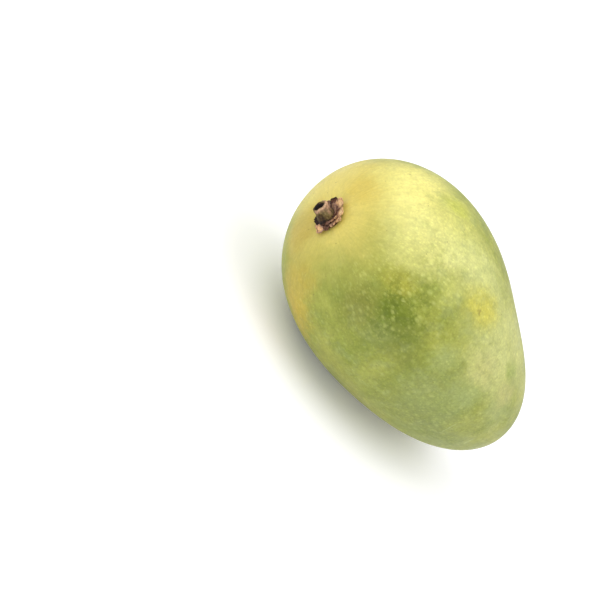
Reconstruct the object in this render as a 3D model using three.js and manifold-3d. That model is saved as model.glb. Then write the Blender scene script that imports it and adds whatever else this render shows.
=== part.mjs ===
// A mango lying on one cheek, with the dried stub of its stem. Millimetres, +Z up, the floor at z = 0.
// The fruit has its own axes: x towards the apex, y towards the fuller shoulder, z up through the cheeks.
import * as THREE from "three";
import { mergeVertices } from "three/addons/utils/BufferGeometryUtils.js";
import Module from "manifold-3d";

const { degToRad, lerp } = THREE.MathUtils;

// The body is an ellipsoid with these half sizes, drawn in and out by the shares below
const halfSize = new THREE.Vector3(60, 42, 39.5);
const form = {
  taper: -0.21, // slimmer towards the apex
  endReach: 0.05, // both ends drawn out
  apexReach: 0.28, // the apex drawn out, the stem end blunt
  shoulder: -0.19, // the fuller shoulder beside the stem, the apex set over to the other edge
  bend: -0.1, // both ends set over to that edge
  edgeTaper: 0.06, // edges a little fuller towards the apex
  cheekShoulder: -0.06, // the upper cheek a little fuller at the stem end
  cheekBend: -0.04, // both ends set a little lower
};

// How it lies: the turns that bring its weight over the flat spot, and the height of its middle
const pitch = degToRad(7.1);
const bank = degToRad(1.8);
const middleHeight = 38.6;

// Stem end: where the stem grows from, and the shallow dip round it
const stemTurn = degToRad(5);
const dipDepth = 0.9;
const dipRadius = 10;

// Stem stub: a leaning oval peg with a broken hollow end, on a low mound, with a root in a socket
const ovals = [
  new THREE.Vector2(2.05, 1.25), // the hollow
  new THREE.Vector2(3, 2.3), // the peg
  new THREE.Vector2(3.7, 2.8), // the foot
];
const ovalHeading = degToRad(-9);
const footCentre = new THREE.Vector2(-1.6, 0.2);
const rimCentre = new THREE.Vector2(-0.6, -1.6);
const rimHeight = 6.5;
const mound = { radius: 4.7, height: 1.2, depth: 2 };
const root = { radius: 1.8, depth: 3, top: 1.2 };
const clearance = 0.3;

// The peg from the bottom of its hollow, over the rim and down to its foot:
// part of the radius, height above the skin, and the oval it follows, counted from the hollow
const pegProfile = [
  { part: 0, height: 3, oval: 0 },
  { part: 0.5, height: 3, oval: 0 },
  { part: 0.8, height: 4.3, oval: 0 },
  { part: 0.95, height: 5.5, oval: 0 },
  { part: 1.02, height: 6.3, oval: 0 },
  { part: 0.86, height: 6.6, oval: 1 },
  { part: 0.98, height: 6.3, oval: 1 },
  { part: 1.02, height: 5.6, oval: 1 },
  { part: 0.96, height: 4.5, oval: 1 },
  { part: 0.96, height: 3.3, oval: 1.2 },
  { part: 0.96, height: 2.2, oval: 1.55 },
  { part: 0.98, height: 1.4, oval: 1.9 },
  { part: 1.04, height: 0.5, oval: 2 },
  { part: 1.04, height: -mound.depth, oval: 2 },
  { part: 0, height: -mound.depth, oval: 2 },
];

// Dried flaps of the collar: heading from the upper cheek in degrees, where each starts, how far it reaches,
// half its width, how far its tip stands off the skin and how far its sides curl up
const flaps = [
  { heading: -30, start: 1.8, reach: 7.2, halfWidth: 2, lift: 1.2, curl: 0.6 },
  { heading: 13, start: 1.8, reach: 6.2, halfWidth: 1.7, lift: 1.3, curl: 0.4 },
  { heading: 47, start: 1.8, reach: 6, halfWidth: 1.4, lift: 0.9, curl: 0.7 },
  { heading: 78, start: 1.8, reach: 5.5, halfWidth: 1.3, lift: 1, curl: 0.7 },
  { heading: 112, start: 1.6, reach: 5.7, halfWidth: 1.4, lift: 0.4, curl: 0.8 },
  { heading: 144, start: 1.8, reach: 7, halfWidth: 2.4, lift: 0.5, curl: 0.6 },
  { heading: 184, start: 3, reach: 6, halfWidth: 2, lift: 0.9, curl: 0.2 },
  { heading: 228, start: 2.4, reach: 6, halfWidth: 1.7, lift: 0.6, curl: 0.6 },
  { heading: 268, start: 2, reach: 5.9, halfWidth: 1.7, lift: 0.6, curl: 0.5 },
  { heading: 300, start: 2, reach: 6.7, halfWidth: 1.7, lift: 1, curl: 0.6 },
];

// Inner folds that stand round the peg, in the same terms
const folds = [
  { heading: -18, start: 2.4, reach: 4.4, halfWidth: 2.8, lift: 3, curl: 0.1 },
  { heading: 42, start: 2.8, reach: 4.5, halfWidth: 0.9, lift: 1.7, curl: 0.4 },
  { heading: 68, start: 2.6, reach: 4.1, halfWidth: 0.9, lift: 1.8, curl: 0.5 },
  { heading: 100, start: 2.2, reach: 4.2, halfWidth: 1, lift: 1.4, curl: 0.5 },
  { heading: 136, start: 2.4, reach: 4.4, halfWidth: 1, lift: 1.1, curl: 0.5 },
];

// How the two kinds grow: their height where they start, how late they lift,
// and how far their width runs round the stem
const flapKind = { rise: 1, lateness: 2, wrap: 0.35 };
const foldKind = { rise: 0.4, lateness: 1, wrap: 1 };
const leafHalfThickness = 0.3;
const leafOffset = 0.12;

// Fineness of the grids, and how far the fruit's rings crowd towards the stem
const fruitSegments = 64;
const fruitRings = 40;
const ringCrowding = 0.55;
const pegSegments = 36;
const moundRings = 8;
const leafSegments = 12;
const leafRings = 8;
const rootSegments = 20;

const wasm = await Module();
wasm.setup();

const up = new THREE.Vector3(0, 1, 0);
const stemWay = new THREE.Vector3(-Math.cos(stemTurn), -Math.sin(stemTurn), 0);
const toStem = new THREE.Quaternion().setFromUnitVectors(up, stemWay);

const rest = new THREE.Matrix4()
  .makeRotationFromEuler(new THREE.Euler(bank, pitch, 0, "YXZ"))
  .setPosition(0, 0, middleHeight);

// The point of the skin that lies that way from the fruit's middle, moved out by outset
function skinPoint(way, outset = 0) {
  const { x, y, z } = way;
  const factor =
    1 +
    form.taper * x +
    form.endReach * x ** 2 +
    form.apexReach * x ** 3 +
    form.shoulder * x * y +
    form.bend * x ** 2 * y +
    form.edgeTaper * x * y ** 2 +
    form.cheekShoulder * x * z +
    form.cheekBend * x ** 2 * z;
  const point = way.clone().multiply(halfSize).multiplyScalar(factor);
  const fromStem = way.distanceTo(stemWay) * halfSize.x;
  const dip = dipDepth * Math.exp(-((fromStem / dipRadius) ** 2));
  return point.setLength(point.length() - dip + outset);
}

// A closed skin on a sphere's grid: pointAt(turn, share) gives each point, and share runs from pole to pole
function closedSkin(segments, rings, pointAt) {
  const grid = new THREE.SphereGeometry(1, segments, rings);
  const position = grid.getAttribute("position");
  const uv = grid.getAttribute("uv");
  for (let i = 0; i < uv.count; i++) {
    const point = pointAt(2 * Math.PI * uv.getX(i), 1 - uv.getY(i));
    position.setXYZ(i, point.x, point.y, point.z);
  }
  return grid;
}

function fruitSkin(outset) {
  return closedSkin(fruitSegments, fruitRings, (turn, share) => {
    const polar = Math.PI * share - ringCrowding * Math.sin(Math.PI * share);
    const way = new THREE.Vector3().setFromSphericalCoords(1, polar, turn - Math.PI / 2);
    return skinPoint(way.applyQuaternion(toStem), outset);
  });
}

// The distance from an oval's middle to its edge at that heading
function ovalReach({ x, y }, heading) {
  const along = heading - ovalHeading;
  return (x * y) / Math.hypot(y * Math.cos(along), x * Math.sin(along));
}

// The peg's profile swept round the ovals, leaning from its foot's centre to its rim's
function pegSkin() {
  const rows = pegProfile.length - 1;
  return closedSkin(pegSegments, rows, (turn, share) => {
    const heading = Math.PI - turn;
    const { part, height, oval } = pegProfile[Math.round(share * rows)];
    const inner = ovals[Math.floor(oval)];
    const outer = ovals[Math.ceil(oval)];
    const reach = part * lerp(ovalReach(inner, heading), ovalReach(outer, heading), oval % 1);
    const over = Math.max(height / rimHeight, 0);
    const x = reach * Math.cos(heading) + lerp(footCentre.x, rimCentre.x, over);
    const z = reach * Math.sin(heading) + lerp(footCentre.y, rimCentre.y, over);
    return new THREE.Vector3(x, height, z);
  });
}

// A low dome, with a deeper one below it
function moundSkin() {
  return closedSkin(pegSegments, moundRings, (turn, share) => {
    const polar = Math.PI * share;
    const rise = share < 0.5 ? mound.height : mound.depth;
    const point = new THREE.Vector3().setFromSphericalCoords(mound.radius, polar, turn - Math.PI / 2);
    return point.setY(rise * Math.cos(polar));
  });
}

// A flat closed tube from its start out to its reach, which rides on the fruit's skin
function leafSkin(leaf, kind, skinHeight) {
  const bearing = degToRad(leaf.heading);
  return closedSkin(leafSegments, leafRings, (turn, share) => {
    const way = (1 - Math.cos(Math.PI * share)) / 2;
    const fullness = (1 - (2 * way - 1) ** 4) ** 0.25 * (0.72 + 0.42 * way);
    const side = fullness * Math.cos(turn);
    const across = leaf.halfWidth * side;
    const out = lerp(leaf.start, leaf.reach, way);
    const heading = bearing + (kind.wrap * across) / out;
    const straight = (1 - kind.wrap) * across;
    const x = out * Math.cos(heading) - straight * Math.sin(bearing);
    const z = out * Math.sin(heading) + straight * Math.cos(bearing);
    const lift = leaf.lift * way ** kind.lateness + leaf.curl * way * side ** 2;
    const height = leafOffset + kind.rise * (1 - way) ** 2 + lift;
    const thick = leafHalfThickness * fullness * Math.sin(turn);
    return new THREE.Vector3(x, skinHeight(x, z) + height + thick, z);
  });
}

// Takes a thing that stands on the stem end, with +y as its axis and +x to the upper cheek, to its place
function standOnStemEnd() {
  const step = 0.01;
  const at = (x, y, z) => skinPoint(new THREE.Vector3(x, y, z).normalize());
  const foot = skinPoint(stemWay);
  const toEdge = at(stemWay.x, stemWay.y + step, 0).sub(foot);
  const toCheek = at(stemWay.x, stemWay.y, step).sub(foot).normalize();
  const axis = new THREE.Vector3().crossVectors(toCheek, toEdge).normalize();
  const side = new THREE.Vector3().crossVectors(toCheek, axis);
  return new THREE.Matrix4().makeBasis(toCheek, axis, side).setPosition(foot);
}

function solidOf(geometry, placement) {
  const bare = geometry.clone().applyMatrix4(placement);
  bare.deleteAttribute("normal");
  bare.deleteAttribute("uv");
  const closed = mergeVertices(bare);
  const vertProperties = closed.getAttribute("position").array;
  const triVerts = new Uint32Array(closed.index.array);
  return new wasm.Manifold(new wasm.Mesh({ numProp: 3, vertProperties, triVerts }));
}

function namedMesh(name, solid, material) {
  const { vertProperties, triVerts } = solid.getMesh();
  const geometry = new THREE.BufferGeometry();
  geometry.setAttribute("position", new THREE.BufferAttribute(vertProperties, 3));
  geometry.setIndex(new THREE.BufferAttribute(triVerts, 1));
  geometry.computeVertexNormals();
  const mesh = new THREE.Mesh(geometry, material);
  mesh.name = name;
  return mesh;
}

// A plain round rod from low to high along the stem's axis
function rod(radius, low, high) {
  const cylinder = new THREE.CylinderGeometry(radius, radius, high - low, rootSegments);
  return cylinder.translate(0, (low + high) / 2, 0);
}

// The fruit, with a socket for the stub's root and a flat spot where it meets the floor
function makeFruit(onStemEnd) {
  const socket = rod(root.radius + clearance, -root.depth - clearance, root.depth);
  const floorSize = 4 * halfSize.x;
  const floor = new THREE.BoxGeometry(floorSize, floorSize, floorSize).translate(0, 0, -floorSize / 2);
  const solid = solidOf(fruitSkin(0), rest)
    .subtract(solidOf(socket, onStemEnd))
    .subtract(solidOf(floor, new THREE.Matrix4()));
  const skin = new THREE.MeshStandardMaterial({ color: 0xb4b65c, roughness: 0.42, metalness: 0 });
  return namedMesh("fruit", solid, skin);
}

// The peg, the mound and the leaves, cut to the fruit's skin with a small clearance, and the root
function makeStemStub(onStemEnd) {
  const stemEnd = standOnStemEnd();
  const fromStemEnd = stemEnd.clone().invert();
  const skinHeight = (x, z) => {
    const way = new THREE.Vector3(x, 0, z).applyMatrix4(stemEnd).normalize();
    return skinPoint(way).applyMatrix4(fromStemEnd).y;
  };
  const shapes = [
    pegSkin(),
    moundSkin(),
    ...flaps.map((flap) => leafSkin(flap, flapKind, skinHeight)),
    ...folds.map((fold) => leafSkin(fold, foldKind, skinHeight)),
  ];
  const solid = shapes
    .map((shape) => solidOf(shape, onStemEnd))
    .reduce((whole, piece) => whole.add(piece))
    .subtract(solidOf(fruitSkin(clearance), rest))
    .add(solidOf(rod(root.radius, -root.depth, root.top), onStemEnd));
  const driedWood = new THREE.MeshStandardMaterial({ color: 0x7a563c, roughness: 0.85, metalness: 0 });
  return namedMesh("stem_stub", solid, driedWood);
}

const onStemEnd = rest.clone().multiply(standOnStemEnd());
const mango = new THREE.Group();
mango.add(makeFruit(onStemEnd), makeStemStub(onStemEnd));

// The origin is under the middle of the whole
const middle = new THREE.Box3().setFromObject(mango).getCenter(new THREE.Vector3());
mango.position.set(-middle.x, -middle.y, 0);

const part = new THREE.Group();
part.add(mango);

export default part;
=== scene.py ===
from math import cos, pi, radians, sin

import bpy
import numpy as np
from mathutils import Matrix, Vector


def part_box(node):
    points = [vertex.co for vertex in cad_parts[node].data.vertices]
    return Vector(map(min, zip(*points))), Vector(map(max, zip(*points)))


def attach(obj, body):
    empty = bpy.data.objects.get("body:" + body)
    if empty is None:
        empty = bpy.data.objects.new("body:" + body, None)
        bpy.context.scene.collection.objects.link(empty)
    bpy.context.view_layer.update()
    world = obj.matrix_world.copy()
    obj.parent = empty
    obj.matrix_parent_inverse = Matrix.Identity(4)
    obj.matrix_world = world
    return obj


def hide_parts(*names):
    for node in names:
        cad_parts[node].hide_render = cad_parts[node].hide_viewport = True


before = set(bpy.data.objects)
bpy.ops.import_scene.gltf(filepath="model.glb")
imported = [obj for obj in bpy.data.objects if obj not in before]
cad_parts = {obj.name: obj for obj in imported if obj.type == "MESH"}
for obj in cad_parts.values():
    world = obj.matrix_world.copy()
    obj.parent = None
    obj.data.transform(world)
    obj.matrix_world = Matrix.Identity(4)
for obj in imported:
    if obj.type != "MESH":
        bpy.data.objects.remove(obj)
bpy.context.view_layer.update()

# A mango lying on its cheek, in metres, +X from the stem end to the apex and +Z up.
mm = 0.001

# Shape shared by the skin and the stub. The fruit's own axes are x to the apex, y to the fuller shoulder
# and z up through the cheeks; the last three values lay it on the floor.
body = {
    "halfSize": np.array([60.0, 42.0, 39.5]) * mm,
    "taper": -0.21,          # slimmer towards the apex
    "endReach": 0.05,        # both ends drawn out
    "apexReach": 0.28,       # the apex drawn out, the stem end blunt
    "shoulder": -0.19,       # the fuller shoulder beside the stem
    "bend": -0.10,           # both ends set over to the other edge
    "edgeTaper": 0.06,
    "cheekShoulder": -0.06,
    "cheekBend": -0.04,
    "stemTurn": radians(5.0),
    "dipDepth": 0.9 * mm,    # the shallow dip round the stem
    "dipRadius": 10.0 * mm,
    "pitch": radians(7.1),
    "bank": radians(1.8),
    "middleHeight": 38.6 * mm,
}


def linearColour(code):
    # an sRGB hex value as linear red, green, blue and alpha
    parts = [int(code[i:i + 2], 16) / 255 for i in (1, 3, 5)]
    return (*[p / 12.92 if p <= 0.04045 else ((p + 0.055) / 1.055) ** 2.4 for p in parts], 1.0)


def feed(tree, node, feeds):
    # a node's inputs by name or number: a socket is linked, anything else is a value
    for key, value in feeds.items():
        if isinstance(value, bpy.types.NodeSocket):
            tree.links.new(value, node.inputs[key])
        else:
            node.inputs[key].default_value = value


def addNode(tree, kind, settings=None, feeds=None, stops=()):
    # one node with its settings, its inputs and the stops of its colour ramp
    node = tree.nodes.new(kind)
    for name, value in (settings or {}).items():
        setattr(node, name, value)
    feed(tree, node, feeds or {})
    if stops:
        bands = node.color_ramp.elements
        for band, (at, code) in zip(bands, (stops[0], stops[-1])):
            band.position, band.color = at, linearColour(code)
        for at, code in stops[1:-1]:
            bands.new(at).color = linearColour(code)
    return node


def newMaterial(name):
    # a material, its node tree and its shader
    material = bpy.data.materials.new(name)
    material.use_nodes = True
    return material, material.node_tree, material.node_tree.nodes["Principled BSDF"]


def softNoise(points, cell, seed):
    # random numbers on a cubic lattice with that cell, blended between each point's eight corners by
    # 3t^2 - 2t^3
    side = 32
    lattice = np.random.default_rng(seed).random((side, side, side))
    base = np.floor(points / cell).astype(int)
    part = points / cell - base
    part = part * part * (3 - 2 * part)
    total = 0.0
    for corner in range(8):
        step = np.array([corner & 1, corner >> 1 & 1, corner >> 2])
        at = (base + step) % side
        weight = np.prod(np.where(step, part, 1 - part), axis=-1)
        total = total + weight * lattice[at[..., 0], at[..., 1], at[..., 2]]
    return total


def smoothStep(low, high, value):
    # 0 below low, 1 above high, 3t^2 - 2t^3 between
    t = np.clip((value - low) / (high - low), 0, 1)
    return t * t * (3 - 2 * t)


def plateau(ends, value):
    # smoothStep up between the first two ends, then down between the last two
    return smoothStep(ends[0], ends[1], value) * (1 - smoothStep(ends[2], ends[3], value))


def closedMesh(name, grids):
    # each grid of rows by columns becomes a closed skin, all in one mesh: its first and last rows are poles,
    # and each row joins round
    points, quads, corners = [], [], []
    for grid in grids:
        rows, columns = grid.shape[:2]
        first = sum(len(p) for p in points)
        points.append(np.concatenate([grid[:1, 0], grid[1:-1].reshape(-1, 3), grid[-1:, 0]]))
        column = np.arange(columns)
        beside = (column + 1) % columns
        row = first + 1 + columns * np.arange(rows - 3)[:, None]
        lastRow = first + 1 + columns * (rows - 3)
        quads.append(np.stack([row + column, row + columns + column,
                               row + columns + beside, row + beside], axis=-1).reshape(-1, 4))
        firstPole = np.full(columns, first)
        lastPole = np.full(columns, first + len(points[-1]) - 1)
        corners.append(np.stack([firstPole, first + 1 + column, first + 1 + beside], axis=-1))
        corners.append(np.stack([lastPole, lastRow + beside, lastRow + column], axis=-1))
    mesh = bpy.data.meshes.new(name)
    faces = np.concatenate(quads).tolist() + np.concatenate(corners).tolist()
    mesh.from_pydata(np.concatenate(points).tolist(), [], faces)
    mesh.polygons.foreach_set("use_smooth", np.ones(len(mesh.polygons), bool))
    mesh.update()
    piece = bpy.data.objects.new(name, mesh)
    bpy.context.scene.collection.objects.link(piece)
    return piece


def pointValues(piece, name, grids):
    # an attribute of a closed mesh, one number or one vector for each vertex, from grids like those it was
    # made of
    flat = np.concatenate([
        np.concatenate([g[:1, 0], g[1:-1].reshape(-1, *g.shape[2:]), g[-1:, 0]]) for g in grids])
    kind, field = ("FLOAT_VECTOR", "vector") if flat.ndim == 2 else ("FLOAT", "value")
    values = piece.data.attributes.new(name, kind, "POINT").data
    values.foreach_set(field, flat.astype(np.float32).ravel())


# Where things are on the fruit

stemWay = np.array([-cos(body["stemTurn"]), -sin(body["stemTurn"]), 0.0])
lying = np.array(Matrix.Rotation(body["pitch"], 3, "Y") @ Matrix.Rotation(body["bank"], 3, "X"))


def skinPoints(way):
    # each unit direction times the half sizes and 1 + the form's shares of x, x^2, x^3, xy, x^2y, xy^2, xz
    # and x^2z, less the round dip at the stem; in the fruit's own axes
    x, y, z = way[..., 0], way[..., 1], way[..., 2]
    factor = (1 + body["taper"] * x + body["endReach"] * x**2 + body["apexReach"] * x**3
              + body["shoulder"] * x * y + body["bend"] * x**2 * y + body["edgeTaper"] * x * y**2
              + body["cheekShoulder"] * x * z + body["cheekBend"] * x**2 * z)
    points = way * body["halfSize"] * factor[..., None]
    fromStem = np.linalg.norm(way - stemWay, axis=-1) * body["halfSize"][0]
    dip = body["dipDepth"] * np.exp(-(fromStem / body["dipRadius"]) ** 2)
    length = np.linalg.norm(points, axis=-1)
    return points * ((length - dip) / length)[..., None]


def unitWays(rings, segments, crowding):
    # directions on rings round the stem, with polar angle pi t - crowding sin(pi t), so that they crowd
    # towards it; and where each lies as the skin grew: its polar angle, and the cosine and sine of its turn
    # round the stem
    share = np.linspace(0, 1, rings + 1)[:, None]
    turn = 2 * pi * np.arange(segments)[None, :] / segments
    polar = pi * share - crowding * np.sin(pi * share)
    side = np.array([-stemWay[1], stemWay[0], 0.0])
    upward = np.cross(stemWay, side)
    way = (np.cos(polar)[..., None] * stemWay
           + (np.sin(polar) * np.cos(turn))[..., None] * side
           + (np.sin(polar) * np.sin(turn))[..., None] * upward)
    growth = np.stack(np.broadcast_arrays(polar, np.cos(turn), np.sin(turn)), axis=-1)
    return way, growth


# The body's box is laid on the CAD fruit's, which gives the middle of its axes
bare = skinPoints(unitWays(rings=120, segments=240, crowding=0.0)[0]) @ lying.T
fruitLow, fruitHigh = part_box("fruit")
middle = np.array([
    (fruitLow.x + fruitHigh.x - bare[..., 0].min() - bare[..., 0].max()) / 2,
    (fruitLow.y + fruitHigh.y - bare[..., 1].min() - bare[..., 1].max()) / 2,
    body["middleHeight"],
])


def inPart(points):
    # from the fruit's own axes to the part's
    return points @ lying.T + middle


def stemAxes():
    # the foot of the stub, and unit directions to the upper cheek, along the stem and to the side, in the
    # part's axes: a step each way on the skin gives the tangents there
    step = 0.01
    near = np.array([stemWay, stemWay + [0, step, 0], stemWay + [0, 0, step]])
    foot, toEdge, toCheek = skinPoints(near / np.linalg.norm(near, axis=1)[:, None])
    toCheek = (toCheek - foot) / np.linalg.norm(toCheek - foot)
    along = np.cross(toCheek, toEdge - foot)
    along = along / np.linalg.norm(along)
    return inPart(foot), lying @ toCheek, lying @ along, lying @ np.cross(toCheek, along)


foot, cheekward, stemward, sideward = stemAxes()

# Camera, at the photograph's view of the fruit: looking down on it, rolled so that it stands in the frame as
# there
view = {
    "stemFromView": radians(54.0),    # angle between the line of sight and the fruit's axis
    "stemInFrame": radians(131.93),   # heading of the stem end in the frame, from its right side
    "roll": radians(60.0),            # turn of the cheeks about the fruit's axis
    "distance": 0.700,
    "right": 0.04218,                 # the fruit's middle from the centre of the frame
    "up": -0.00208,
    "lens": 111.1,
    "sensor": 36.0,
    "nearest": 0.05,
}


def seenAxes():
    # the fruit's x, y and z as the camera has them: right, up and towards the eye
    heading = np.array([cos(view["stemInFrame"]), sin(view["stemInFrame"])])
    toStem = np.array([*(heading * sin(view["stemFromView"])), cos(view["stemFromView"])])
    left = np.array([-heading[1], heading[0], 0.0])
    near = np.cross(toStem, left)
    beside = left * cos(view["roll"]) + near * sin(view["roll"])
    return np.stack([-toStem, -beside, np.cross(toStem, beside)], axis=1)


cameraTurn = lying @ seenAxes().T


def fromCamera(right, up, back):
    # a point given from the fruit's middle along the frame's right, its top and towards the eye
    return Vector(cameraTurn @ np.array([right, up, back]) + middle)


def addCamera():
    # the camera, off the fruit's middle by the view's distance, right and up
    lens = bpy.data.cameras.new("camera")
    lens.lens = view["lens"]
    lens.sensor_width = view["sensor"]
    lens.clip_start = view["nearest"]
    eye = bpy.data.objects.new("camera", lens)
    bpy.context.scene.collection.objects.link(eye)
    eye.matrix_world = Matrix.LocRotScale(fromCamera(-view["right"], -view["up"], view["distance"]),
                                          Matrix(cameraTurn.tolist()), None)
    bpy.context.scene.camera = eye


addCamera()
print("camera set")

# Skin of the fruit

skin = {
    "rings": 232,
    "segments": 400,
    "crowding": 0.45,
    "swell": 0.45 * mm,        # slow hollows and swellings of the flesh
    "swellCell": 24.0 * mm,
    "swellSeed": 3,
    "pebble": 0.05 * mm,       # the leathery unevenness
    "pebbleCell": 3.2 * mm,
    "pebbleSeed": 4,
    "folds": 11,               # faint puckers that run into the stem
    "foldDepth": 0.16 * mm,
    "foldEnds": (4.0 * mm, 8.0 * mm, 8.0 * mm, 15.0 * mm),    # from the stem: start, full, still full, end
    "foldWander": 2.5,         # how far they wander sideways, in radians of their wave
    "wanderCell": 9.0 * mm,
    "wanderSeed": 5,
    "dents": [                 # place, radius and depth in millimetres
        ((-26.7, -29.9, 66.2), 3.2, 0.16),
        ((-4.6, -27.0, 70.3), 2.6, 0.14),
        ((6.0, 34.0, 62.0), 4.0, 0.22),
        ((31.0, 12.0, 60.0), 5.0, 0.25),
        ((-20.0, 40.0, 30.0), 3.4, 0.18),
    ],
    "scarDepth": 0.35 * mm,    # the small scar of the flower's style, at the apex
    "scarRadius": 1.6 * mm,
}


def makeSkin():
    # the body's surface, moved inwards along its radius by slow noise, fine noise, cosine folds round the
    # stem, round dents and the scar at the apex, and held flat where it meets the floor
    way, growth = unitWays(skin["rings"], skin["segments"], skin["crowding"])
    own = skinPoints(way)
    points = inPart(own)
    depth = skin["swell"] * softNoise(points, skin["swellCell"], skin["swellSeed"])
    depth = depth + skin["pebble"] * softNoise(points, skin["pebbleCell"], skin["pebbleSeed"])
    offFoot = points - foot
    fromFoot = np.linalg.norm(offFoot, axis=-1)
    heading = np.arctan2(offFoot @ sideward, offFoot @ cheekward)
    wander = skin["foldWander"] * softNoise(points, skin["wanderCell"], skin["wanderSeed"])
    fold = (1 + np.cos(skin["folds"] * heading + wander)) / 2
    depth = depth + skin["foldDepth"] * plateau(skin["foldEnds"], fromFoot) * fold
    for place, radius, deep in skin["dents"]:
        away = np.linalg.norm(points - np.array(place) * mm, axis=-1) / (radius * mm)
        depth = depth + deep * mm * np.exp(-away**2)
    apex = points.reshape(-1, 3)[points[..., 0].argmax()]
    fromApex = np.linalg.norm(points - apex, axis=-1) / skin["scarRadius"]
    depth = depth + skin["scarDepth"] * np.exp(-fromApex**2)
    length = np.linalg.norm(own, axis=-1)
    points = inPart(own * ((length - depth) / length)[..., None])
    points[..., 2] = np.maximum(points[..., 2], 0.0)
    piece = closedMesh("skin", [points])
    pointValues(piece, "growth", [growth * body["halfSize"][1]])
    return piece


# Marks of the skin's colour, with some painted highlight and painted shade among them, each laid over those
# before it: where it is and how far it reaches in millimetres, its colour and how strong it is
skinMarks = [
    ("yellow stem end", (-60, 4, 50), (40, 42, 38), "#D7C665", 0.95),
    # paler yellow green skin on this side, partly real and partly painted light
    ("pale side and painted light", (26, -22, 68), (58, 25, 25), "#CBCC7E", 0.85),
    ("greyish green below", (8, -42, 42), (26, 12, 18), "#93A060", 0.50),
    ("greener apex", (34, -41, 24), (24, 16, 20), "#879244", 0.75),
    ("yellow green underside", (-10, -32, 10), (34, 16, 14), "#98983E", 0.65),
    # pale yellow of the stem end, made brighter still as a painted highlight
    ("pale crown and painted highlight", (-46, 1, 73), (28, 30, 16), "#ECE386", 0.90),
    # pale yellow shoulder, partly a painted highlight that carries the crown's highlight down and softens
    # its edge
    ("pale shoulder and painted highlight", (-33, -17, 73), (28, 18, 22), "#DEDA86", 0.70),
    ("pale lower side", (16, -33, 59), (28, 13, 16), "#C7CA7E", 0.75),
    ("pale apex side", (36, -33, 50), (15, 10, 14), "#AFB874", 0.60),
    ("pale far crown", (-27, -2, 81), (16, 18, 12), "#DAD678", 0.60),
    ("green belly", (12, -43, 36), (19, 12, 13), "#8F9B4C", 0.65),
    ("grey green belly", (17, -40, 48), (11, 8, 9), "#AAB56C", 0.60),
    # deeper green low on the fruit, partly painted shade that darkens its lower side
    ("deeper green and painted shade below", (11, -41, 24), (29, 13, 17), "#79843A", 0.48),
    ("ochre rim", (-60, -2, 32), (13, 13, 18), "#B4A040", 0.90),
    ("ochre flank", (-48, -15, 21), (17, 13, 27), "#BCA63C", 0.85),
    ("ochre foot", (-39, -20, 14), (17, 11, 16), "#C2AA32", 0.85),
    ("gold by the stem", (-57, 3, 58), (9, 11, 10), "#CDB448", 0.60),
    ("green streak", (-39, -33, 43), (15, 8, 13), "#80842A", 0.90),
    ("dull green middle", (-24, -39, 45), (18, 9, 13), "#7D862C", 0.75),
    # painted light: lightens the skin just below the highlight so that its edge fades softly
    ("painted light under the highlight", (-40, -23, 66), (15, 12, 13), "#D2CF78", 0.60),
    ("olive patch", (-32, -36, 51), (12, 8, 9), "#6C7C04", 0.85),
    ("olive tail", (-22, -38, 50), (10, 7, 9), "#7A852A", 0.85),
    ("bloom", (-29, -38, 43), (10, 7, 9), "#84924C", 0.35),
    ("grey bloom", (-4, -40, 54), (10, 7, 9), "#A6B26A", 0.60),
    ("golden slope", (-38, -30, 59), (12, 8, 8), "#A9A63A", 0.80),
    ("yellow patch", (-4, -25, 72), (15, 11, 11), "#CBC244", 0.80),
    ("green smudge", (-29, 2, 81), (10, 7, 10), "#BCC04A", 0.75),
    ("green shoulder", (-19, -12, 79), (12, 8, 8), "#B3BA58", 0.25),
    ("small green smudge", (30, -25, 60), (8, 6, 6), "#9DA950", 0.85),
    ("right shoulder", (-14, -15, 77), (24, 14, 12), "#D8D98A", 0.65),
    ("light middle", (-22, -29, 68), (9, 7, 7), "#BDC05C", 0.60),
    # painted shade in the shallow dent here
    ("crease", (-27, -30, 66), (5, 3, 5), "#84902E", 0.70),
    ("olive spot above", (-34, -34, 55), (4, 3, 3), "#607002", 0.60),
    ("olive spot beside", (-33, -36, 50), (4, 3, 3), "#5A6C02", 0.60),
    ("olive spot below", (-27, -37, 52), (4, 3, 3), "#607002", 0.50),
    ("warm side", (15, -34, 59), (14, 9, 10), "#C6C078", 0.45),
    ("warm by the apex", (34, -30, 54), (10, 8, 8), "#C8BE76", 0.50),
    ("dark speck", (-5, -27, 70), (1.8, 1.6, 1.8), "#7C6A1E", 0.60),
]

# Faint scratches: where each is in millimetres, the unit direction across it, and half its length in
# millimetres
scratches = [
    ("crossing scratch", (25.7, -40.5, 32.9), (0.73, -0.68, 0.01), 4.5),
    ("scratch by the apex", (40.5, -36.3, 31.0), (0.72, -0.69, 0.01), 3.4),
]

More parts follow.
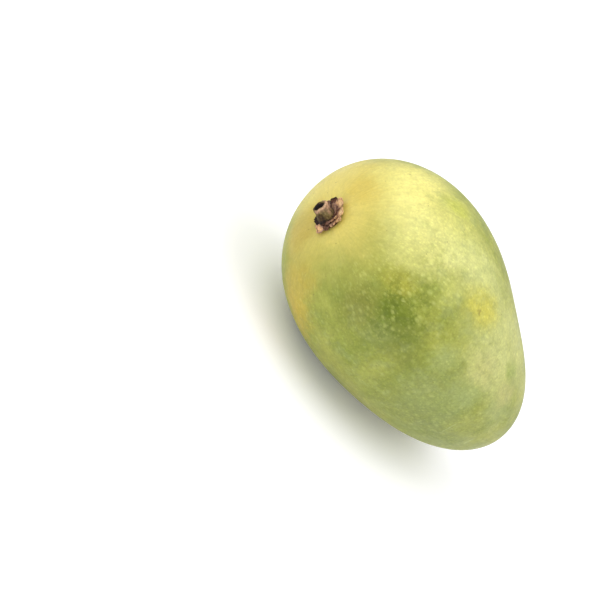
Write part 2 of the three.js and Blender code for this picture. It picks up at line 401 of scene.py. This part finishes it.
skinFinish = {
    "ground": [(0.34, "#84902E"), (0.5, "#949B3A"), (0.66, "#A8AB48")],    # green clouds under the marks
    "groundCell": 14.0 * mm,
    "groundDetail": 5.0,
    "groundRoughness": 0.62,
    "olive": "#8B9234",
    "bloom": "#9AA566",
    "between": "#62720C",       # the green between the dots where it is darkest
    "dot": "#CED07C",
    "speck": "#6A6228",
    "speckCell": 5.2 * mm,
    "speckEnds": (0.075, 0.03),      # parts of the cell where a speck starts and is full
    "speckShare": 0.5,
    "scratch": "#BECA8A",
    "scratchWidth": 0.22 * mm,
    "scratchShare": 0.35,
    # the noises that push things about, size and reach: all marks a little, and the wide ones far
    "littlePush": (4.0 * mm, 6.5 * mm),
    "farPush": (20.0 * mm, 14.0 * mm),
    "wideMark": 15,             # a mark that reaches further than this, in millimetres, is wide
    "scratchPush": (3.0 * mm, 0.8 * mm),
    # noises: size in millimetres, detail and roughness; then two heights, what each stands for, and how one
    # goes to the other
    "noises": {
        "olive": (5.0, 4.0, 0.60, (0.50, 0.68), (0.0, 0.34), "SMOOTHSTEP"),
        "bloom": (6.5, 4.0, 0.60, (0.48, 0.66), (0.0, 0.29), "SMOOTHSTEP"),
        "between": (3.0, 4.0, 0.65, (0.48, 0.62), (0.0, 0.60), "SMOOTHSTEP"),
        "streaks": (1.7, 4.0, 0.60, (0.3, 0.7), (0.95, 1.05), "LINEAR"),
        "mottle": (2.2, 4.0, 0.70, (0.3, 0.7), (0.91, 1.09), "LINEAR"),
        "grain": (0.9, 3.0, 0.60, (0.3, 0.7), (0.88, 1.12), "LINEAR"),
        "wax": (6.0, 4.0, 0.60, (0.3, 0.7), (0.44, 0.58), "SMOOTHSTEP"),
    },
    # the noises that are read somewhere else, so that they don't follow the others, or drawn out: move and
    # scale
    "readAt": {
        "bloom": ((0.3, 0.1, 0.2), (1.0, 1.0, 1.0)),
        "between": ((0.1, 0.2, 0.3), (1.0, 1.0, 1.0)),
        "streaks": ((0.0, 0.0, 0.0), (0.16, 1.0, 1.0)),
    },
    "darkPlace": (-31.0, -36.0, 52.0),      # where the green is darkest, in millimetres
    "boldPlace": (-37.0, -27.0, 63.0),      # and where the dots are boldest
    # shares that go with the distance from the stem, the dark place or the bold place: two distances in
    # millimetres and the share at each
    "fades": {
        "cloudsOffStem": ("stem", (22, 48), (0.25, 1.0)),
        "cloudsNear": ("dark", (64, 20), (0.6, 1.0)),
        "cloudsOffDark": ("dark", (6, 18), (0.35, 1.0)),
        "between": ("dark", (19, 6), (0.0, 1.0)),
        "mottle": ("stem", (20, 45), (0.45, 1.0)),
        "dots": ("stem", (12, 34), (0.3, 1.0)),
        "bold": ("bold", (30, 12), (0.0, 1.0)),
    },
    # the pores, and the fine dots between them: how strong they are away from the bold place and on it, how
    # light the skin is off a dot and on it, and the share of the dots' colour
    "dots": {
        "pore": {"cell": 2.2 * mm, "radius": 1.25 * mm, "strength": (0.60, 1.40), "light": (0.97, 1.10),
                 "share": 0.27},
        "fine": {"cell": 1.05 * mm, "radius": 0.55 * mm, "strength": (0.70, 1.00), "light": (0.96, 1.16),
                 "share": 0.16},
    },
    "poreHeight": 0.6,          # of the grain's height
    "bump": 0.22,
    "bumpHeight": 0.12 * mm,
    "shader": {
        "IOR": 1.42,
        "Subsurface Weight": 0.12,
        "Subsurface Radius": (1.0, 0.7, 0.25),
        "Subsurface Scale": 2.5 * mm,
        "Sheen Weight": 0.06,
        "Sheen Roughness": 0.5,
    },
}


def pushedAbout(tree, vector, size, reach):
    # the vector moved by noise of that size, by half the reach each way at most, which makes edges ragged
    drift = addNode(tree, "ShaderNodeTexNoise", {},
                    {"Vector": vector, "Scale": 1 / size, "Detail": 3.0, "Roughness": 0.6})
    centred = addNode(tree, "ShaderNodeVectorMath", {"operation": "SUBTRACT"},
                      {0: drift.outputs["Color"], 1: (0.5, 0.5, 0.5)})
    return addNode(tree, "ShaderNodeVectorMath", {"operation": "MULTIPLY_ADD"},
                   {0: centred.outputs[0], 1: (reach, reach, reach), 2: vector}).outputs[0]


def laidOver(tree, colour, code, share, factors=()):
    # a colour laid over another by its share, times the other factors; inputs 6 and 7 of a Mix node are its
    # two colours, and its output 2 is what they give
    for factor in factors:
        share = addNode(tree, "ShaderNodeMath", {"operation": "MULTIPLY"}, {0: share, 1: factor}).outputs[0]
    return addNode(tree, "ShaderNodeMix", {"data_type": "RGBA"},
                   {0: share, 6: colour, 7: linearColour(code)}).outputs[2]


def skinMaterial():
    # Waxy skin of a ripening mango, grown: chlorophyll green going to carotene yellow in soft clouds, with
    # pale corky pores and a thin bloom of wax. To the eye it is a soft satin, with broad highlights and a
    # faintly grey rim.
    material, tree, shader = newMaterial("waxy mango skin, ripening")
    place = addNode(tree, "ShaderNodeTexCoord").outputs["Object"]
    growth = addNode(tree, "ShaderNodeAttribute", {"attribute_name": "growth"}).outputs["Vector"]
    pushedLittle = pushedAbout(tree, place, *skinFinish["littlePush"])
    pushedFar = pushedAbout(tree, pushedLittle, *skinFinish["farPush"])

    # each noise's height and the share that it stands for; the streaks follow the skin's growth
    height, patches = {}, {}
    for name, (size, detail, roughness, ends, shares, blend) in skinFinish["noises"].items():
        vector = growth if name == "streaks" else place
        if name in skinFinish["readAt"]:
            move, scale = skinFinish["readAt"][name]
            vector = addNode(tree, "ShaderNodeMapping", {},
                             {"Vector": vector, "Location": move, "Scale": scale}).outputs[0]
        noise = addNode(tree, "ShaderNodeTexNoise", {"label": name},
                        {"Vector": vector, "Scale": 1 / (size * mm),
                         "Detail": detail, "Roughness": roughness})
        height[name] = noise.outputs["Fac"]
        patches[name] = addNode(tree, "ShaderNodeMapRange", {"interpolation_type": blend},
                                {"Value": height[name], "From Min": ends[0], "From Max": ends[1],
                                 "To Min": shares[0], "To Max": shares[1]}).outputs[0]

    # the shares that go with the distance from a place
    places = {
        "stem": foot,
        "dark": np.array(skinFinish["darkPlace"]) * mm,
        "bold": np.array(skinFinish["boldPlace"]) * mm,
    }
    fades = {}
    for name, (at, ends, shares) in skinFinish["fades"].items():
        away = addNode(tree, "ShaderNodeVectorMath", {"operation": "DISTANCE", "label": name},
                       {0: place, 1: tuple(places[at])})
        fades[name] = addNode(tree, "ShaderNodeMapRange", {"interpolation_type": "SMOOTHSTEP"},
                              {"Value": away.outputs["Value"],
                               "From Min": ends[0] * mm, "From Max": ends[1] * mm,
                               "To Min": shares[0], "To Max": shares[1]}).outputs[0]

    # the ground, green clouds
    clouds = addNode(tree, "ShaderNodeTexNoise", {},
                     {"Vector": place, "Scale": 1 / skinFinish["groundCell"],
                      "Detail": skinFinish["groundDetail"], "Roughness": skinFinish["groundRoughness"]})
    colour = addNode(tree, "ShaderNodeValToRGB", {}, {"Fac": clouds.outputs["Fac"]},
                     skinFinish["ground"]).outputs["Color"]

    # the marks: soft balls, each drawn out along the axes and full in its inner fifth
    for name, at, reach, code, strength in skinMarks:
        scale = [1 / (r * mm) for r in reach]
        shift = [-a * mm * k for a, k in zip(at, scale)]
        away = addNode(tree, "ShaderNodeMapping", {"label": name},
                       {"Vector": pushedFar if max(reach) > skinFinish["wideMark"] else pushedLittle,
                        "Scale": scale, "Location": shift})
        length = addNode(tree, "ShaderNodeVectorMath", {"operation": "LENGTH"}, {0: away.outputs[0]})
        share = addNode(tree, "ShaderNodeMapRange", {"interpolation_type": "SMOOTHSTEP"},
                        {"Value": length.outputs["Value"], "From Min": 1.0, "From Max": 0.2,
                         "To Min": 0.0, "To Max": strength})
        colour = laidOver(tree, colour, code, share.outputs[0])

    # small clouds of olive and of grey bloom, fainter by the stem, far from the dark place and right on it;
    # and the dark green between the dots there
    clouded = [fades[name] for name in ("cloudsOffStem", "cloudsNear", "cloudsOffDark")]
    for name, factors in (("olive", clouded), ("bloom", clouded), ("between", [fades["between"]])):
        colour = laidOver(tree, colour, skinFinish[name], patches[name], factors)

    # fine streaks from the stem to the apex, and a fine mottle that is weaker by the stem; inputs 2 and 3 of
    # a Mix node are its two numbers
    mottling = addNode(tree, "ShaderNodeMath", {"operation": "MULTIPLY"},
                       {0: patches["mottle"], 1: patches["grain"]})
    mottled = addNode(tree, "ShaderNodeMix", {}, {0: fades["mottle"], 2: 1.0, 3: mottling.outputs[0]})
    lights = [patches["streaks"], mottled.outputs[0]]

    # pores and fine dots: where the skin cuts soft balls round the points of a random lattice, each of its
    # own strength, fainter by the stem and strongest at the bold place
    dots = {}
    for name, values in skinFinish["dots"].items():
        balls = addNode(tree, "ShaderNodeTexVoronoi", {"feature": "F1", "label": name},
                        {"Vector": growth, "Scale": 1 / values["cell"]})
        own = addNode(tree, "ShaderNodeSeparateColor", {}, {"Color": balls.outputs["Color"]})
        reach = values["radius"] / values["cell"]
        strength = fades["dots"]
        for value, ends, shares, blend in (
                (balls.outputs["Distance"], (reach, reach * 0.1), (0.0, 1.0), "SMOOTHSTEP"),
                (own.outputs["Red"], (0.1, 1.0), (0.1, 1.0), "SMOOTHSTEP"),
                (fades["bold"], (0.0, 1.0), values["strength"], "LINEAR")):
            factor = addNode(tree, "ShaderNodeMapRange", {"interpolation_type": blend},
                             {"Value": value, "From Min": ends[0], "From Max": ends[1],
                              "To Min": shares[0], "To Max": shares[1]})
            strength = addNode(tree, "ShaderNodeMath", {"operation": "MULTIPLY"},
                               {0: strength, 1: factor.outputs[0]}).outputs[0]
        dots[name] = strength
        light = addNode(tree, "ShaderNodeMapRange", {"interpolation_type": "LINEAR"},
                        {"Value": strength, "To Min": values["light"][0], "To Max": values["light"][1]})
        lights.append(light.outputs[0])
    for light in lights:
        colour = addNode(tree, "ShaderNodeVectorMath", {"operation": "SCALE"},
                         {0: colour, "Scale": light}).outputs[0]
    for name, values in skinFinish["dots"].items():
        colour = laidOver(tree, colour, skinFinish["dot"], dots[name], [values["share"]])

    # rare dark specks
    specks = addNode(tree, "ShaderNodeTexVoronoi", {"feature": "F1"},
                     {"Vector": place, "Scale": 1 / skinFinish["speckCell"]})
    start, full = skinFinish["speckEnds"]
    share = addNode(tree, "ShaderNodeMapRange", {"interpolation_type": "SMOOTHSTEP"},
                    {"Value": specks.outputs["Distance"], "From Min": start, "From Max": full,
                     "To Min": 0.0, "To Max": skinFinish["speckShare"]})
    colour = laidOver(tree, colour, skinFinish["speck"], share.outputs[0])

    # scratches: where a wavy plane cuts the skin, fading to both ends
    wavy = pushedAbout(tree, place, *skinFinish["scratchPush"])
    for name, at, across, half in scratches:
        off = addNode(tree, "ShaderNodeVectorMath", {"operation": "SUBTRACT", "label": name},
                      {0: wavy, 1: [a * mm for a in at]}).outputs[0]
        side = addNode(tree, "ShaderNodeVectorMath", {"operation": "DOT_PRODUCT"}, {0: off, 1: across})
        away = addNode(tree, "ShaderNodeMath", {"operation": "ABSOLUTE"}, {0: side.outputs["Value"]})
        length = addNode(tree, "ShaderNodeVectorMath", {"operation": "LENGTH"}, {0: off})
        shares = [addNode(tree, "ShaderNodeMapRange", {"interpolation_type": "SMOOTHSTEP"},
                          {"Value": value, "From Min": start, "From Max": full,
                           "To Min": 0.0, "To Max": most}).outputs[0]
                  for value, start, full, most in (
                      (away.outputs[0], skinFinish["scratchWidth"], 0.0, 1.0),
                      (length.outputs["Value"], half * mm, half / 2 * mm, skinFinish["scratchShare"]))]
        colour = laidOver(tree, colour, skinFinish["scratch"], shares[0], shares[1:])

    # the pores stand a little proud, over a leathery grain
    relief = addNode(tree, "ShaderNodeMath", {"operation": "MULTIPLY_ADD"},
                     {0: dots["pore"], 1: skinFinish["poreHeight"], 2: height["grain"]})
    bump = addNode(tree, "ShaderNodeBump", {},
                   {"Strength": skinFinish["bump"], "Distance": skinFinish["bumpHeight"],
                    "Height": relief.outputs[0]})
    feed(tree, shader, {"Base Color": colour, "Roughness": patches["wax"], "Normal": bump.outputs[0],
                        **skinFinish["shader"]})
    return material


fruit = makeSkin()
fruit.data.materials.append(skinMaterial())
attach(fruit, "root")
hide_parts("fruit")
print("skin made,", len(fruit.data.polygons), "faces")

# Dried stub of the stem

stub = {
    "pegHalf": (3.0 * mm, 2.3 * mm),
    "hollowHalf": (2.05 * mm, 1.25 * mm),
    "footHalf": (3.7 * mm, 2.8 * mm),
    "pegHeading": radians(-9.0),      # of its longer axis, from the upper cheek
    "footCentre": (-1.6 * mm, 0.2 * mm),   # of the peg, towards the cheek and the side
    "rimCentre": (-0.6 * mm, -1.6 * mm),
    "rimHeight": 6.5 * mm,
    "thinSide": radians(-127.0),      # where the peg's wall is thinnest
    "hollowShift": 0.25 * mm,         # the hollow is set over to that side
    "thinDark": 0.5,                  # how much darker the rim is there
    "darkEnd": (radians(186.0), 0.45, 0.35),     # where the rim is darkest: heading, half width, strength
    "paleSide": (radians(2.0), 0.7, 0.27),       # where the peg is palest
    "darkSide": (radians(118.0), 0.5, 0.2),      # and where it is darkest
    "tear": 0.55 * mm,                # how uneven the rim is
    "tearNoise": 0.9,                 # and how much of that is noise
    "tearThin": 0.8,                  # and how much the thin side's
    "tearCell": 0.35,
    "tearSeed": 23,
    "ridges": 0.07,                   # how angular the peg is
    "ridgeCount": 5,
    "ridgeTurn": 0.8,
    "wrinkle": 0.16 * mm,
    "fibreCell": 0.12,                # width of the fibres, on a circle of radius 1 round the peg
    "fineFibreCell": 0.055,
    "fibreStretch": 0.12,             # how fast they change along their run
    # the peg from the bottom of its hollow over the rim to its foot: part of the radius, height in
    # millimetres, which oval it follows (0 the hollow, 1 the peg, 2 the foot), and its tint
    "pegProfile": [
        # the tint falls to near black down the hollow, which is painted shade, and is lower towards the foot
        (0.0, 3.0, 0, 0.00), (0.5, 3.0, 0, 0.00), (0.8, 4.3, 0, 0.02), (0.95, 5.5, 0, 0.10),
        (1.02, 6.35, 0, 0.55), (0.86, 6.65, 1, 0.86), (0.98, 6.35, 1, 0.80), (1.02, 5.6, 1, 0.62),
        (0.96, 4.5, 1, 0.46), (0.96, 3.3, 1.2, 0.42), (0.96, 2.2, 1.55, 0.36), (0.98, 1.4, 1.9, 0.22),
        (1.04, 0.5, 2, 0.12), (1.04, -0.5, 2, 0.12), (0.0, -0.5, 2, 0.12),
    ],
    "pegSteps": 8,                    # rows of the mesh from one row of the profile to the next
    "pegSegments": 192,
    "pegRow": 0.3 * mm,               # what a row of the profile counts for along the fibres
    "pegSeed": 21,
    "rimRows": (2.5, 4.5, 5.5, 8.0),         # where the rim starts, is full, still is and ends, in rows
    "underRimRows": (6.5, 8.0, 11.0, 12.5),  # and the same for the stretch under it
    "moundRadius": 4.7 * mm,
    "moundHeight": 1.2 * mm,
    "moundUnder": 0.5 * mm,           # how far it goes under the skin
    "moundUneven": 0.10,
    "moundRun": 3.0 * mm,             # length of its fibres
    "moundTint": 0.26,
    "moundRows": 33,
    "moundSegments": 128,
    "moundSeed": 31,
    "flapRows": 41,
    "flapSegments": 48,
    "flapRoot": 1.0,                  # height of a flap by the peg, in millimetres
    "flapGap": 0.12,                  # and what is added all along it
    "flapWrinkle": 1.3,               # how much more than the peg it is wrinkled
    "unevenCell": 0.45,               # size of the noise that changes across a flap
    "unevenSpread": 1.3,              # how much of it half a flap's width takes
    "unevenReach": 0.3,               # what it does to the flap's reach and to its height
    "unevenHeight": 0.25,
    "creaseShade": 0.2,                # a flap's tint by the peg, painted shade in the crease there
    "sideShade": 0.28,                 # how much darker its sides are, painted shade between the flaps
    # the collar's flaps: heading from the upper cheek in degrees; where each starts, how far it reaches, its
    # half width and how far its tip stands off the skin in millimetres; how far its sides curl up; its tint
    "flaps": [
        (-30, 1.8, 7.2, 2.0, 1.2, 0.6, 0.92), (13, 1.8, 6.2, 1.7, 1.3, 0.4, 0.98),
        (47, 1.8, 6.0, 1.4, 0.9, 0.7, 0.88), (78, 1.8, 5.5, 1.3, 1.0, 0.7, 0.78),
        (112, 1.6, 5.7, 1.4, 0.4, 0.8, 0.45), (144, 1.8, 7.3, 2.4, 0.5, 0.6, 0.76),
        # the low tints of the flaps at 184 and 300 degrees are painted shade
        (184, 3.0, 6.0, 2.0, 0.9, 0.2, 0.12), (228, 2.4, 6.0, 1.7, 0.6, 0.6, 0.60),
        (268, 2.0, 5.9, 1.7, 0.6, 0.5, 0.60), (300, 2.0, 6.7, 1.7, 1.0, 0.6, 0.30),
    ],
    # the inner folds that stand against the peg, in the same terms
    "folds": [
        (-18, 2.4, 4.4, 2.8, 3.0, 0.1, 0.60), (42, 2.8, 4.5, 0.9, 1.7, 0.4, 0.80),
        (68, 2.6, 4.1, 0.9, 1.8, 0.5, 0.76), (100, 2.2, 4.2, 1.0, 1.4, 0.5, 0.46),
        (136, 2.4, 4.4, 1.0, 1.1, 0.5, 0.36),
    ],
    # for the flaps and for the folds: the first seed, the power of their rise, and how far their width runs
    # round the stem
    "sorts": {"flaps": (40, 2, 0.35), "folds": (80, 1, 1.0)},
    "thickness": 0.28 * mm,
}


def onStem(x, z, height, fromSkin):
    # a point of the stub, from its place over the foot's tangent plane; fromSkin is how far it rides on the
    # skin, which falls away under that plane
    across = foot + x[..., None] * cheekward + z[..., None] * sideward - middle
    below = inPart(skinPoints((across / np.linalg.norm(across, axis=-1)[..., None]) @ lying)) - foot
    height = height + (below @ stemward) * fromSkin
    return foot + x[..., None] * cheekward + height[..., None] * stemward + z[..., None] * sideward


def spokes(heading, across, seed):
    # noise in fibres that run outwards, less its mean: it changes round the stem and hardly at all along
    # them
    heading, across = np.broadcast_arrays(heading, across)
    at = np.stack([np.cos(heading), np.sin(heading), stub["fibreStretch"] * across / mm], axis=-1)
    coarse = softNoise(at, stub["fibreCell"], seed)
    return coarse + 0.5 * softNoise(at, stub["fineFibreCell"], seed + 1) - 0.75


def pegGrid():
    # a profile swept round, its radius blended between the ovals of the hollow, the peg and the foot; noise
    # and a thin side lower the rim, ridges and fibres move the radius, and its centre goes from the foot's
    # to the rim's with height^1.2
    rows = np.array(stub["pegProfile"])
    last = len(rows) - 1
    fine = np.linspace(0, last, stub["pegSteps"] * last + 1)
    part, height, follow, tint = [np.interp(fine, np.arange(last + 1), values)[:, None] for values in rows.T]
    heading = 2 * pi * np.arange(stub["pegSegments"])[None, :] / stub["pegSegments"]
    row = fine[:, None]
    turn = heading - stub["pegHeading"]
    hollow, peg, base = [long * short / np.hypot(short * np.cos(turn), long * np.sin(turn))
                         for long, short in (stub["hollowHalf"], stub["pegHalf"], stub["footHalf"])]
    outside = np.clip(follow, 0, 1)
    atFoot = np.clip(follow - 1, 0, 1)
    fibre = spokes(heading, row * stub["pegRow"], stub["pegSeed"])
    angular = 1 + stub["ridges"] * np.cos(stub["ridgeCount"] * turn + stub["ridgeTurn"]) * outside
    radius = part * angular * (hollow * (1 - outside) + peg * (outside - atFoot) + base * atFoot)
    radius = radius + stub["wrinkle"] * fibre * outside * smoothStep(0, 1.2, part)
    thin = (1 + np.cos(heading - stub["thinSide"])) / 2
    atRim = plateau(stub["rimRows"], row)
    circle = np.stack([np.cos(heading), np.sin(heading), 0 * heading], axis=-1)
    ragged = softNoise(circle, stub["tearCell"], stub["tearSeed"])
    height = height * mm - stub["tear"] * atRim * (stub["tearNoise"] * ragged + stub["tearThin"] * thin)
    over = np.clip(height / stub["rimHeight"], 0, 1) ** 1.2
    shift = stub["hollowShift"] * (1 - outside)
    centre = [low * (1 - over) + high * over for low, high in zip(stub["footCentre"], stub["rimCentre"])]
    x = radius * np.cos(heading) + centre[0] + shift * cos(stub["thinSide"])
    z = radius * np.sin(heading) + centre[1] + shift * sin(stub["thinSide"])
    darkEnd, paleSide, darkSide = [
        strength * np.exp(-(np.arccos(np.cos(heading - at)) / width) ** 2)
        for at, width, strength in (stub["darkEnd"], stub["paleSide"], stub["darkSide"])]
    tint = tint - atRim * (stub["thinDark"] * thin**2 + darkEnd)
    tint = tint + plateau(stub["underRimRows"], row) * (paleSide - darkSide)
    return onStem(x, z, height, 0.0), tint, fibre


def moundGrid():
    # a low dome with an uneven edge: its radius goes with the sine^0.8 of the row's angle and its height
    # with the cosine
    angle = np.linspace(0, pi, stub["moundRows"])[:, None]
    heading = 2 * pi * np.arange(stub["moundSegments"])[None, :] / stub["moundSegments"]
    fibre = spokes(heading, stub["moundRun"] * np.sin(angle), stub["moundSeed"])
    radius = stub["moundRadius"] * np.sin(angle) ** 0.8 * (1 + stub["moundUneven"] * fibre)
    rise = np.cos(angle) * np.where(np.cos(angle) > 0, stub["moundHeight"], stub["moundUnder"])
    rise = rise + stub["wrinkle"] * fibre * np.sin(angle)
    points = onStem(radius * np.cos(heading), radius * np.sin(heading), rise, 1.0)
    return points, np.full(rise.shape, stub["moundTint"]), fibre


def flapGrid(flap, seed, steep, wrap):
    # a flat tube from its start to its reach, s from 0 to 1 along it, whose width goes with the fourth root
    # of 1 - (2s - 1)^4 and grows a little outwards; its height goes with (1 - s)^2 by the peg and with
    # s^steep at the tip, its sides curl up with the square of the distance from its middle, and noise
    # wrinkles it and makes its tip uneven; wrap is how far its width runs round the stem instead of
    # straight across
    bearing, start, reach, halfWidth, lift, curl, tint = flap
    s = (1 - np.cos(np.linspace(0, pi, stub["flapRows"])))[:, None] / 2
    around = 2 * pi * np.arange(stub["flapSegments"])[None, :] / stub["flapSegments"]
    full = (1 - np.abs(2 * s - 1) ** 4) ** 0.25 * (0.72 + 0.42 * s)
    full[[0, -1]] = 0
    side = np.cos(around)
    across = halfWidth * mm * full * side
    line = np.stack(np.broadcast_arrays(side * stub["unevenSpread"] + 0 * s, 0.0, 0.0), axis=-1)
    uneven = softNoise(line, stub["unevenCell"], seed) - 0.5
    out = (start + (reach - start) * s * (1 + stub["unevenReach"] * uneven)) * mm
    heading = radians(bearing) + wrap * across / np.maximum(out, 1.5 * mm)
    x = out * np.cos(heading) - across * (1 - wrap) * np.sin(radians(bearing))
    z = out * np.sin(heading) + across * (1 - wrap) * np.cos(radians(bearing))
    fibre = spokes(heading, out, seed + 1)
    rise = stub["flapRoot"] * (1 - s) ** 2 + lift * s**steep + curl * s * side**2 + stub["flapGap"]
    height = rise * mm * (1 + stub["unevenHeight"] * uneven)
    height = height + stub["thickness"] * np.sin(around) * np.minimum(full, 1)
    height = height + stub["wrinkle"] * stub["flapWrinkle"] * fibre
    # the tint goes from painted crease shade by the peg, with painted shade at the sides, to the flap's own
    # tint at its tip
    outer = smoothStep(0.15, 0.7, s * steep / 2 + 1 - steep / 2)
    shade = stub["creaseShade"] + (tint - stub["creaseShade"]) * outer - stub["sideShade"] * side**6
    return onStem(x, z, height, 1.0), shade + 0 * fibre, fibre


def makeStub():
    # the peg, the mound under it, the collar's flaps and the inner folds, in one mesh
    grids = [pegGrid(), moundGrid()]
    for name, (seed, steep, wrap) in stub["sorts"].items():
        grids += [flapGrid(flap, seed + 3 * i, steep, wrap) for i, flap in enumerate(stub[name])]
    piece = closedMesh("stem_stub_dried", [g[0] for g in grids])
    pointValues(piece, "tint", [g[1] for g in grids])
    pointValues(piece, "fibre", [g[2] for g in grids])
    pointValues(piece, "peg", [np.full(g[1].shape, float(i == 0)) for i, g in enumerate(grids)])
    return piece


stubFinish = {
    "peg": [(0.0, "#0B0503"), (0.14, "#2C180A"), (0.26, "#463213"), (0.38, "#625023"), (0.48, "#77663A"),
            (0.60, "#8C7450"), (0.72, "#AE8768"), (0.86, "#CBA582")],
    "flap": [(0.0, "#120805"), (0.14, "#351A0C"), (0.30, "#5C3620"), (0.45, "#7C5745"), (0.58, "#94735F"),
             (0.70, "#BC8F68"), (0.84, "#DDB07A"), (1.0, "#F3CF9C")],
    "wanderCell": 0.8 * mm,      # the colours wander by a noise of this size
    "wander": 0.6,
    "wanderBack": -0.31,         # which brings its middle back to the tint
    "grooveShading": (0.62, 1.2),      # painted shade in the fibres' grooves and painted light on their ridges
    "grooveDepth": 0.35,
    "grainCell": 0.35 * mm,
    "bump": 0.6,
    "bumpHeight": 0.15 * mm,
    "roughness": 0.82,
}


def stubMaterial():
    # Dried stem tissue, shrunk and torn: dull and fibrous, tan where it is thin, with painted shade that
    # makes it dark brown in its creases and almost black in the hollow, and with a pinkish grey broken rim.
    material, tree, shader = newMaterial("dried stem tissue, torn")
    place = addNode(tree, "ShaderNodeTexCoord").outputs["Object"]
    tint, fibre, onPeg = [addNode(tree, "ShaderNodeAttribute", {"attribute_name": name}).outputs["Fac"]
                          for name in ("tint", "fibre", "peg")]
    wander, grain = [addNode(tree, "ShaderNodeTexNoise", {},
                             {"Vector": place, "Scale": 1 / stubFinish[cell], "Detail": 4.0}).outputs["Fac"]
                     for cell in ("wanderCell", "grainCell")]
    shifted = addNode(tree, "ShaderNodeMath", {"operation": "MULTIPLY_ADD"},
                      {0: wander, 1: stubFinish["wander"], 2: tint})
    along = addNode(tree, "ShaderNodeMath", {"operation": "ADD"},
                    {0: shifted.outputs[0], 1: stubFinish["wanderBack"]})
    flap, peg = [addNode(tree, "ShaderNodeValToRGB", {}, {"Fac": along.outputs[0]},
                         stubFinish[name]).outputs["Color"] for name in ("flap", "peg")]
    both = addNode(tree, "ShaderNodeMix", {"data_type": "RGBA"}, {0: onPeg, 6: flap, 7: peg})
    # painted shade in the fibres' grooves and painted light on their ridges
    depth = stubFinish["grooveDepth"]
    low, high = stubFinish["grooveShading"]
    shade = addNode(tree, "ShaderNodeMapRange", {},
                    {"Value": fibre, "From Min": -depth, "From Max": depth, "To Min": low, "To Max": high})
    colour = addNode(tree, "ShaderNodeVectorMath", {"operation": "SCALE"},
                     {0: both.outputs[2], "Scale": shade.outputs[0]})
    bump = addNode(tree, "ShaderNodeBump", {},
                   {"Strength": stubFinish["bump"], "Distance": stubFinish["bumpHeight"], "Height": grain})
    feed(tree, shader, {"Base Color": colour.outputs[0], "Roughness": stubFinish["roughness"],
                        "Normal": bump.outputs[0]})
    return material


stem = makeStub()
stem.data.materials.append(stubMaterial())
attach(stem, "root")
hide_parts("stem_stub")
print("stub made,", len(stem.data.polygons), "faces")

# Studio: a white seamless floor, large soft lights from the frame's top and right, a weak one in front, and
# a bright room

studio = {
    "floorSize": 12.0,
    "floor": "#FBFBFA",
    "floorRoughness": 0.9,
    "glow": "#EDE9FF",        # the paper gives a little light of its own, which lightens the shadow
    "glowStrength": 0.13,
    "room": 0.64,
    "lights": [     # right, up and back from the fruit's middle, size in metres, watts
        ("key", (0.35, 1.35, 0.95), 1.9, 15.0),
        ("side", (1.45, 0.15, 0.55), 1.7, 11.0),
        ("front", (-0.45, 0.25, 1.35), 1.0, 2.0),
    ],
}


def addStudio():
    # the floor, the lamps, each turned to the fruit's middle, and the room's even light
    half = studio["floorSize"] / 2
    mesh = bpy.data.meshes.new("floor")
    corners = [(-half, -half, 0), (half, -half, 0), (half, half, 0), (-half, half, 0)]
    mesh.from_pydata(corners, [], [(0, 1, 2, 3)])
    floor = bpy.data.objects.new("floor", mesh)
    bpy.context.scene.collection.objects.link(floor)
    paper, tree, shader = newMaterial("white seamless paper")
    feed(tree, shader, {"Base Color": linearColour(studio["floor"]), "Roughness": studio["floorRoughness"],
                        "Emission Color": linearColour(studio["glow"]),
                        "Emission Strength": studio["glowStrength"]})
    mesh.materials.append(paper)
    for name, place, size, watts in studio["lights"]:
        lamp = bpy.data.lights.new(name, "AREA")
        lamp.shape = "DISK"
        lamp.size = size
        lamp.energy = watts
        holder = bpy.data.objects.new(name, lamp)
        bpy.context.scene.collection.objects.link(holder)
        holder.location = fromCamera(*place)
        holder.rotation_euler = (holder.location - Vector(middle)).to_track_quat("Z", "Y").to_euler()
    room = bpy.data.worlds.new("bright room")
    room.use_nodes = True
    feed(room.node_tree, room.node_tree.nodes["Background"],
         {"Color": (1.0, 1.0, 1.0, 1.0), "Strength": studio["room"]})
    bpy.context.scene.world = room
    bpy.context.scene.view_settings.view_transform = "Standard"


addStudio()
print("studio lit")
